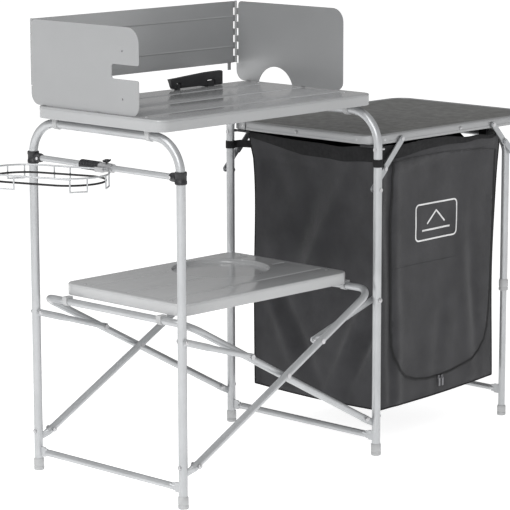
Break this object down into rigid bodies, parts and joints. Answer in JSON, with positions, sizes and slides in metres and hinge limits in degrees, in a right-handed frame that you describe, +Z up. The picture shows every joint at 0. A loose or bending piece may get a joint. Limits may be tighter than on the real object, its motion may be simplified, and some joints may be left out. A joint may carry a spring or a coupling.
{
  "type": "camp kitchen table",
  "caption": "Folding camp cooking stand: two decks on a scissor frame, hinged windscreen, bag ring, and a side table with a hanging zipped fabric cupboard.",
  "frame": {"origin": "centre of the front-left foot's underside, on the ground", "axes": "+X along the cook's side from the bag ring to the side table, +Y to the rear, +Z up"},
  "size_m": [1.4202, 0.4922, 0.9858],
  "materials": {
    "frame_paint": "satin",
    "light_plastic": "satin",
    "black_plastic": "satin",
    "steel": "satin",
    "deck_panel": "gloss",
    "windscreen_sheet": "satin",
    "elastic": "matte",
    "side_rail": "satin",
    "side_top": "matte",
    "cupboard_cloth": "matte"
  },
  "bodies": {
    "left_frame": {"left_frame_tube": "frame_paint", "left_feet": "light_plastic", "left_lower_rail": "frame_paint", "crossbar": "frame_paint", "crossbar_collars": "black_plastic", "collar_bolts": "steel", "left_brackets": "light_plastic", "left_frame_bolts": "steel", "left_deck_clips": "light_plastic"},
    "brace_a": {"brace_a_tube": "frame_paint", "brace_a_pins": "steel"},
    "brace_b": {"brace_b_tube": "frame_paint", "brace_b_pins": "steel"},
    "struts_left": {"left_struts": "frame_paint"},
    "struts_right": {"right_struts": "frame_paint"},
    "right_frame": {"right_frame_tube": "frame_paint", "right_feet": "light_plastic", "right_lower_rail": "frame_paint", "right_brackets": "light_plastic", "right_frame_bolts": "steel", "right_deck_clips": "light_plastic", "side_board": "side_top", "side_rails": "side_rail", "side_table_mounts": "light_plastic", "side_leg_saddles": "black_plastic", "side_fixed_stays": "steel", "cupboard_left": "cupboard_cloth", "cupboard_right": "cupboard_cloth", "cupboard_back": "cupboard_cloth", "cupboard_front": "cupboard_cloth", "cupboard_door": "cupboard_cloth", "cupboard_floor": "cupboard_cloth", "cupboard_straps": "cupboard_cloth"},
    "shelf_carrier_right": {"shelf_clips_right": "light_plastic"},
    "shelf_carrier_left": {"shelf_clips_left": "light_plastic"},
    "shelf": {"lower_shelf": "deck_panel", "shelf_battens": "deck_panel", "shelf_rivets": "steel"},
    "deck": {"main_deck": "deck_panel", "deck_battens": "deck_panel", "deck_rivets": "steel", "handle_brackets": "black_plastic"},
    "handle": {"carry_handle": "black_plastic"},
    "windscreen": {"screen_back": "windscreen_sheet", "screen_hinge_pins": "steel"},
    "wing_left": {"screen_left_wing": "windscreen_sheet"},
    "wing_right": {"screen_right_wing": "windscreen_sheet"},
    "bag_ring": {"ring_sleeve": "black_plastic", "ring_clamp": "steel", "ring_hoop": "frame_paint", "ring_elastic": "elastic"},
    "screw": {"clamp_screw": "black_plastic"},
    "side_legs": {"side_leg_frame": "frame_paint", "side_leg_collars": "light_plastic"},
    "lower_legs": {"side_lower_legs": "frame_paint", "side_feet": "light_plastic"},
    "stay_uppers": {"side_stay_uppers": "steel"},
    "stay_lowers": {"side_stay_lowers": "steel"},
    "zip_left": {"zip_pull_left": "steel"},
    "zip_right": {"zip_pull_right": "steel"}
  },
  "joints": [
    {"name": "main_fold", "type": "hinge", "parent": "left_frame", "child": "brace_a", "pos_m": [0.03, -0.009, 0.088], "axis": [0, -1, 0], "range_deg": [0, 26.5]},
    {"name": "scissor_cross", "type": "hinge", "parent": "brace_a", "child": "brace_b", "pos_m": [0.3, 0, 0.23346], "axis": [0, -1, 0], "range_deg": [-53, 0]},
    {"name": "right_frame_pivot", "type": "hinge", "parent": "brace_b", "child": "right_frame", "pos_m": [0.57, 0.009, 0.088], "axis": [0, -1, 0], "range_deg": [0, 26.5]},
    {"name": "left_strut_pivot", "type": "hinge", "parent": "brace_b", "child": "struts_left", "pos_m": [0.19259, 0, 0.29133], "axis": [0, -1, 0], "range_deg": [0, 76]},
    {"name": "right_strut_pivot", "type": "hinge", "parent": "brace_a", "child": "struts_right", "pos_m": [0.40741, 0, 0.29133], "axis": [0, -1, 0], "range_deg": [-76, 0]},
    {"name": "right_clip_turn", "type": "hinge", "parent": "brace_a", "child": "shelf_carrier_right", "pos_m": [0.572, 0, 0.38], "axis": [0, -1, 0], "range_deg": [-26.5, 0]},
    {"name": "left_clip_turn", "type": "hinge", "parent": "brace_b", "child": "shelf_carrier_left", "pos_m": [0.028, 0, 0.38], "axis": [0, -1, 0], "range_deg": [0, 26.5]},
    {"name": "shelf_lift", "type": "slide", "parent": "shelf_carrier_right", "child": "shelf", "axis": [0, 0, 1], "range_m": [0, 0.12]},
    {"name": "deck_lift", "type": "slide", "parent": "left_frame", "child": "deck", "axis": [0, 0, 1], "range_m": [0, 0.12]},
    {"name": "handle_raise", "type": "hinge", "parent": "deck", "child": "handle", "pos_m": [0.44, 0.3985, 0.811], "axis": [1, 0, 0], "range_deg": [0, 85]},
    {"name": "windscreen_lift", "type": "slide", "parent": "deck", "child": "windscreen", "axis": [0, 0, 1], "range_m": [0, 0.15]},
    {"name": "left_wing_fold", "type": "hinge", "parent": "windscreen", "child": "wing_left", "pos_m": [-0.012, 0.4345, 0.9], "axis": [0, 0, 1], "range_deg": [0, 90]},
    {"name": "right_wing_fold", "type": "hinge", "parent": "windscreen", "child": "wing_right", "pos_m": [0.603, 0.4345, 0.9], "axis": [0, 0, -1], "range_deg": [0, 60]},
    {"name": "bag_ring_swing", "type": "hinge", "parent": "left_frame", "child": "bag_ring", "pos_m": [0, 0.215, 0.689], "axis": [0, -1, 0], "range_deg": [0, 78]},
    {"name": "clamp_screw_turn", "type": "hinge", "parent": "bag_ring", "child": "screw", "pos_m": [0, 0.219, 0.7], "axis": [0, 0, 1], "continuous": true},
    {"name": "side_legs_fold", "type": "hinge", "parent": "right_frame", "child": "side_legs", "pos_m": [1.085, 0.225, 0.668], "axis": [0, 1, 0], "range_deg": [0, 90], "deforming": ["cupboard_left", "cupboard_right", "cupboard_back", "cupboard_front", "cupboard_door", "cupboard_floor", "zip_pull_left", "zip_pull_right"]},
    {"name": "leg_telescope", "type": "slide", "parent": "side_legs", "child": "lower_legs", "axis": [0, 0, 1], "range_m": [0, 0.2201]},
    {"name": "stay_upper_turn", "type": "hinge", "parent": "right_frame", "child": "stay_uppers", "pos_m": [1.02, 0, 0.698], "axis": [0, 1, 0], "range_deg": [0, 38.86]},
    {"name": "stay_lower_turn", "type": "hinge", "parent": "stay_uppers", "child": "stay_lowers", "pos_m": [1.0603, 0, 0.65584], "axis": [0, 1, 0], "range_deg": [-137.02, 0]},
    {"name": "left_zip_slide", "type": "slide", "parent": "right_frame", "child": "zip_left", "axis": [-1, 0, 0], "range_m": [0, 0.09]},
    {"name": "right_zip_slide", "type": "slide", "parent": "right_frame", "child": "zip_right", "axis": [1, 0, 0], "range_m": [0, 0.09]}
  ],
  "couplings": [
    {"joint": "scissor_cross", "follows": "main_fold", "ratio": -2},
    {"joint": "right_frame_pivot", "follows": "main_fold", "ratio": 1},
    {"joint": "left_strut_pivot", "follows": "main_fold", "ratio": 2.868},
    {"joint": "right_strut_pivot", "follows": "main_fold", "ratio": -2.868},
    {"joint": "right_clip_turn", "follows": "main_fold", "ratio": -1},
    {"joint": "left_clip_turn", "follows": "main_fold", "ratio": 1},
    {"joint": "leg_telescope", "follows": "side_legs_fold", "m_per_rad": 0.14},
    {"joint": "stay_upper_turn", "follows": "side_legs_fold", "ratio": 0.4318},
    {"joint": "stay_lower_turn", "follows": "side_legs_fold", "ratio": -1.5224}
  ]
}
